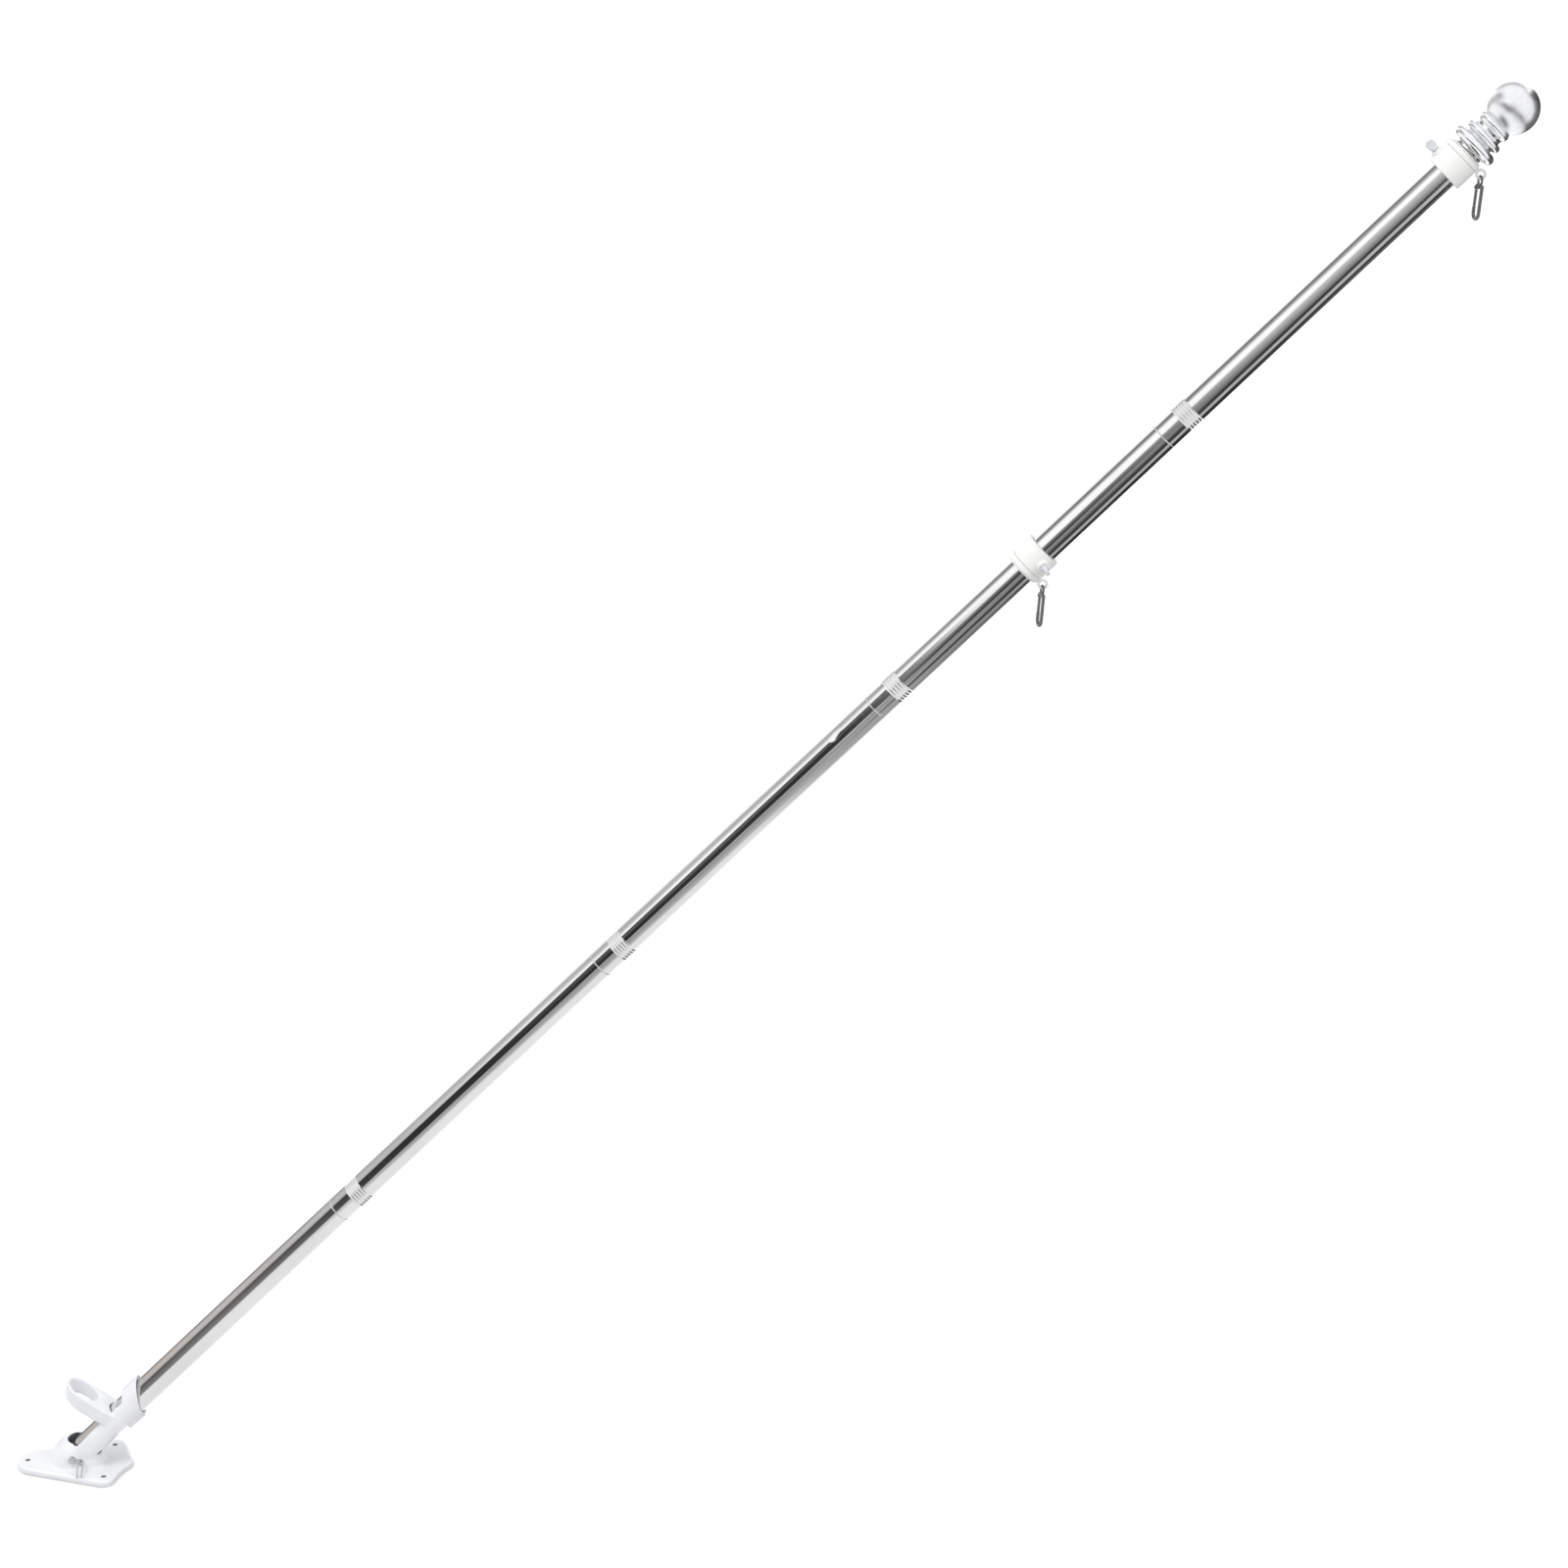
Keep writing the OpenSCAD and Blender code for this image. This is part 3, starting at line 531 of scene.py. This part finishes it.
def outline(node, step):
    """A turned node's outside: its radius at even steps along the pole."""
    low, high = ends(node)
    edges = turned_edges(node)
    count = round((high - low) / step)
    line = []
    for index in range(count + 1):
        along = low + (high - low) * index / count
        near = min(max(along, low + TINY), high - TINY)
        here = [edge for edge in edges if edge[0] <= near <= edge[2]]
        radii = [r0 + (r1 - r0) * (near - a0) / (a1 - a0) for a0, r0, a1, r1 in here]
        line.append((along, max(radii)))
    return line


def ends(node):
    """Lowest and highest distance of a node along the pole."""
    along = [place for place, _ in along_and_out(node)]
    return min(along), max(along)


def ease(line, step, rounds):
    """The same outline in even steps of its own length, with its corners rounded."""
    points = [Vector(point) for point in line]
    reached = [0.0]
    for first, second in zip(points, points[1:]):
        reached.append(reached[-1] + (second - first).length)
    count = round(reached[-1] / step)
    even = []
    here = 0
    for index in range(count + 1):
        goal = reached[-1] * index / count
        while here < len(points) - 2 and reached[here + 1] < goal:
            here += 1
        share = (goal - reached[here]) / (reached[here + 1] - reached[here])
        even.append(points[here].lerp(points[here + 1], min(share, 1)))
    for _ in range(rounds):
        middle = [(a + b * 2 + c) / 4 for a, b, c in zip(even, even[1:], even[2:])]
        even = [even[0]] + middle + [even[-1]]
    return [tuple(point) for point in even]


def turned_edges(node):
    """The node's edges as they lie along the pole, leaving out those that only go round it."""
    points = along_and_out(node)
    edges = []
    for edge in NODES[node].data.edges:
        (a0, r0), (a1, r1) = sorted(points[vertex] for vertex in edge.vertices)
        if a1 - a0 > TINY:
            edges.append((a0, r0, a1, r1))
    return edges


def turn_line(name, line, steps, close=False):
    """A mesh turned round the pole from points (distance along it, radius), smooth but for its sharp edges.
    A point without a radius becomes one vertex on the axis."""
    bm = bmesh.new()
    rings = []
    for along, radius in line:
        if radius < TINY:
            rings.append([bm.verts.new((0, 0, along))])
            continue
        angles = [2 * pi * k / steps for k in range(steps)]
        rings.append([bm.verts.new((radius * cos(a), radius * sin(a), along)) for a in angles])
    pairs = list(zip(rings, rings[1:]))
    if close:
        pairs.append((rings[-1], rings[0]))
    for lower, upper in pairs:
        for k in range(steps):
            n = (k + 1) % steps
            corners = [lower[k % len(lower)], lower[n % len(lower)]]
            corners += [upper[n % len(upper)], upper[k % len(upper)]]
            bm.faces.new(list(dict.fromkeys(corners)))
    bm.transform(POLE_FRAME)
    bmesh.ops.recalc_face_normals(bm, faces=bm.faces)
    mesh = bpy.data.meshes.new(name)
    bm.to_mesh(mesh)
    bm.free()
    mesh.shade_smooth()
    mesh.set_sharp_from_angle(angle=SMOOTH_EDGE)
    return mesh


def tube_line(node):
    """Closed outline of a tube's wall, with fine steps at its lips, its rolled grooves and its dent."""
    points = along_and_out(node)
    low, high = ends(node)
    outer = max(radius for _, radius in points)
    bore = min(radius for _, radius in points)
    part = LIP / 3
    line = [(low, bore), (low, outer - LIP), (low + part, outer - part), (low + LIP, outer)]
    line.append((low + 2 * LIP, outer))
    pressed = [along for along, radius in points if outer - GROOVE_MOST < radius < outer - GROOVE_LEAST]
    rolled = [along for along in pressed if LIP_REACH < along - low < GROOVE_REACH]
    if rolled:
        rolls = groove_points((min(rolled) + max(rolled)) / 2, outer)
        line += [(rolls[0][0] - LIP, outer)] + rolls + [(rolls[-1][0] + LIP, outer)]
    spot = dent(node)
    if spot:
        count = round(2 * DENT_REACH / DENT_STEP)
        line += [(spot[0] - DENT_REACH + DENT_STEP * k, outer) for k in range(count + 1)]
    line.append((high - 2 * LIP, outer))
    line += [(high - LIP, outer), (high - part, outer - part), (high, outer - LIP), (high, bore)]
    return line


def groove_points(middle, outer):
    """Smooth rolled grooves round a distance along the pole."""
    first = middle - GROOVE_PITCH * GROOVES / 2
    line = []
    for count in range(GROOVES * GROOVE_STEPS + 1):
        wave = (1 - cos(2 * pi * count / GROOVE_STEPS)) / 2
        line.append((first + GROOVE_PITCH * count / GROOVE_STEPS, outer - GROOVE_DEPTH * wave))
    return line


def dent(node):
    """Where a tube is dented: the distance along the pole, the direction out of the pole and the depth."""
    outer = max(radius for _, radius in along_and_out(node))
    low, high = ends(node)
    spots = []
    for vertex in NODES[node].data.vertices:
        place = vertex.co - FOOT
        along, radius = place.dot(POLE), place.cross(POLE).length
        pressed = outer - GROOVE_MOST < radius < outer - DENT_LEAST
        if pressed and low + GROOVE_REACH < along < high - LIP_REACH:
            spots.append((along, (place - POLE * along).normalized(), outer - radius))
    if not spots:
        return None
    middle = sum(along for along, _, _ in spots) / len(spots)
    out = sum((way for _, way, _ in spots), Vector()).normalized()
    return middle, out, max(depth for _, _, depth in spots)


def press_dent(mesh, node):
    """Presses the dent into a tube's smooth wall."""
    middle, out, depth = dent(node)
    outer = max(radius for _, radius in along_and_out(node))
    for vertex in mesh.vertices:
        place = vertex.co - FOOT
        along = place.dot(POLE)
        across = place - POLE * along
        if across.length < outer - TINY or across.dot(out) < 0:
            continue
        side = across.cross(out).length
        far = ((along - middle) / DENT_LONG) ** 2 + (side / DENT_WIDE) ** 2
        if far < 1:
            vertex.co -= out * depth * (1 - far) ** 2


def soften(name, nodes, grid, rounds, materials):
    """One piece from a body's nodes, remeshed finely and smoothed so that every edge is rounded."""
    bm = bmesh.new()
    for node in nodes:
        bm.from_mesh(NODES[node].data)
    raw = bpy.data.meshes.new(name)
    bm.to_mesh(raw)
    bm.free()
    helper = bpy.data.objects.new(name + "_raw", raw)
    bpy.context.scene.collection.objects.link(helper)
    remesh = helper.modifiers.new("remesh", "REMESH")
    remesh.mode = "VOXEL"
    remesh.voxel_size = grid
    smooth = helper.modifiers.new("smooth", "SMOOTH")
    smooth.factor = 0.5
    smooth.iterations = rounds
    shape = helper.evaluated_get(bpy.context.evaluated_depsgraph_get())
    mesh = bpy.data.meshes.new_from_object(shape)
    bpy.data.objects.remove(helper)
    bpy.data.meshes.remove(raw)
    mesh.name = name
    mesh.shade_smooth()
    return add_piece(name, mesh, materials, *nodes)


def dress_nodes(materials):
    """Each CAD piece gets the material of its slot."""
    for name, node in NODES.items():
        node.data.materials.clear()
        node.data.materials.append(materials[SLOT_OF[name]])


def round_ring(bracket):
    """Rounds the mouth ring's outer edge below the pole, where the ring stands out from the sleeve."""
    to_pole = POLE_FRAME.inverted()
    places = [to_pole @ vertex.co for vertex in NODES["bracket_socket"].data.vertices]
    start = min(place.z for place in places)
    cheek = max(place.x for place in places if place.z < start + RING_CLEAR)
    ring = min(place.z for place in places if place.x > cheek + TINY)
    outer = max(place.xy.length for place in places if place.x > cheek + TINY)
    bm = bmesh.new()
    bm.from_mesh(bracket.data)
    near = []
    for vertex in bm.verts:
        place = to_pole @ vertex.co
        on_ring = place.x > cheek and place.xy.length > outer - RING_SKIN
        if on_ring and ring - RING_SKIN < place.z < ring + RING_REACH:
            near.append(vertex)
    for _ in range(RING_ROUNDS):
        bmesh.ops.smooth_vert(bm, verts=near, factor=0.5, use_axis_x=True, use_axis_y=True, use_axis_z=True)
    bm.to_mesh(bracket.data)
    bm.free()


def thin_sleeve(bracket):
    """Takes the outside of the sleeve and its mouth ring in, to the wall that the photograph shows."""
    to_pole = POLE_FRAME.inverted()
    for vertex in bracket.data.vertices:
        place = to_pole @ vertex.co
        radius = place.xy.length
        share = rise(radius, *SLEEVE_WALL) - rise(radius, *SLEEVE_WALL) * rise(radius, *SLEEVE_BEYOND)
        share *= rise(place.z, *SLEEVE_START)
        if share > 0:
            place.xy *= (radius - SLEEVE_CUT * share) / radius
            vertex.co = POLE_FRAME @ place


def rise(value, low, high):
    """A smooth rise from nothing to one between two values."""
    share = min(max((value - low) / (high - low), 0), 1)
    return share * share * (3 - 2 * share)


def paint_hole_shade(bracket, well, hole):
    """Paints shade into the second socket's well inside the dome and into the screw holes, as darker materials on
    their walls.
    """
    eye, pair, tail = (MOUNTS[name] for name in ("second_socket_eye", "screw_pair", "tail_screw"))
    half = Vector((0, pair["dims"]["spacing_y_mm"] * MM / 2, 0))
    screws = [(Vector(pair["pos_m"]) + half, pair["dims"]["hole_r_mm"])]
    screws.append((Vector(pair["pos_m"]) - half, pair["dims"]["hole_r_mm"]))
    screws.append((Vector(tail["pos_m"]), tail["dims"]["r_mm"]))
    holes = [(Vector(eye["pos_m"]), Vector(eye["axis"]), eye["dims"]["r_mm"], WELL_FLOOR, WELL_TOP, 1)]
    for place, radius in screws:
        holes.append((place, Vector((0, 0, 1)), radius, 0, 2 * place.z - HOLE_RIM, 2))
    bracket.data.materials.append(well)
    bracket.data.materials.append(hole)
    for face in bracket.data.polygons:
        for place, axis, radius, low, high, shade_index in holes:
            from_axis = (face.center - place).cross(axis.normalized()).length
            if from_axis < radius * MM + WELL_MARGIN and low < face.center.z < high:
                # painted shade: faces inside the well or a screw hole get the dark material
                face.material_index = shade_index


def build(materials):
    """The pieces that take the place of CAD nodes."""
    for node in (name for name, slot in SLOT_OF.items() if slot == "tube"):
        mesh = turn_line(node + "_wall", tube_line(node), TURN_STEPS, close=True)
        if dent(node):
            press_dent(mesh, node)
        add_piece(node + "_wall", mesh, materials, node)
    line = [(ends("finial")[0], 0)] + outline("finial", FINE_STEP)
    mesh = turn_line("finial_ball", ease(line, 2 * FINE_STEP, FINIAL_ROUNDS), TURN_STEPS)
    add_piece("finial_ball", mesh, materials, "finial")
    bracket = soften("bracket", ("bracket_body", "bracket_socket"), BRACKET_GRID, BRACKET_ROUNDS, materials)
    round_ring(bracket)
    thin_sleeve(bracket)
    paint_hole_shade(bracket, materials["well"], materials["hole"])
    for end in ("lower", "upper"):
        for name, node, grid, rounds in PAIRED:
            soften(name % end, [node % end], grid, rounds, materials)
    for name, node, grid, rounds in SINGLE:
        soften(name, [node], grid, rounds, materials)


def main():
    bpy.context.scene.view_settings.view_transform = "Standard"
    add_camera()
    add_world()
    add_floor()
    for lamp in LAMPS:
        add_lamp(*lamp)
    materials = {"tube": steel(), "bracket": white_coat()}
    for slot, values in PLATINGS.items():
        materials[slot] = plating(*values, ball=slot == "finial")
    for slot, values in SATINS.items():
        materials[slot] = satin(*values)
    dress_nodes(materials)
    build(materials)


main()
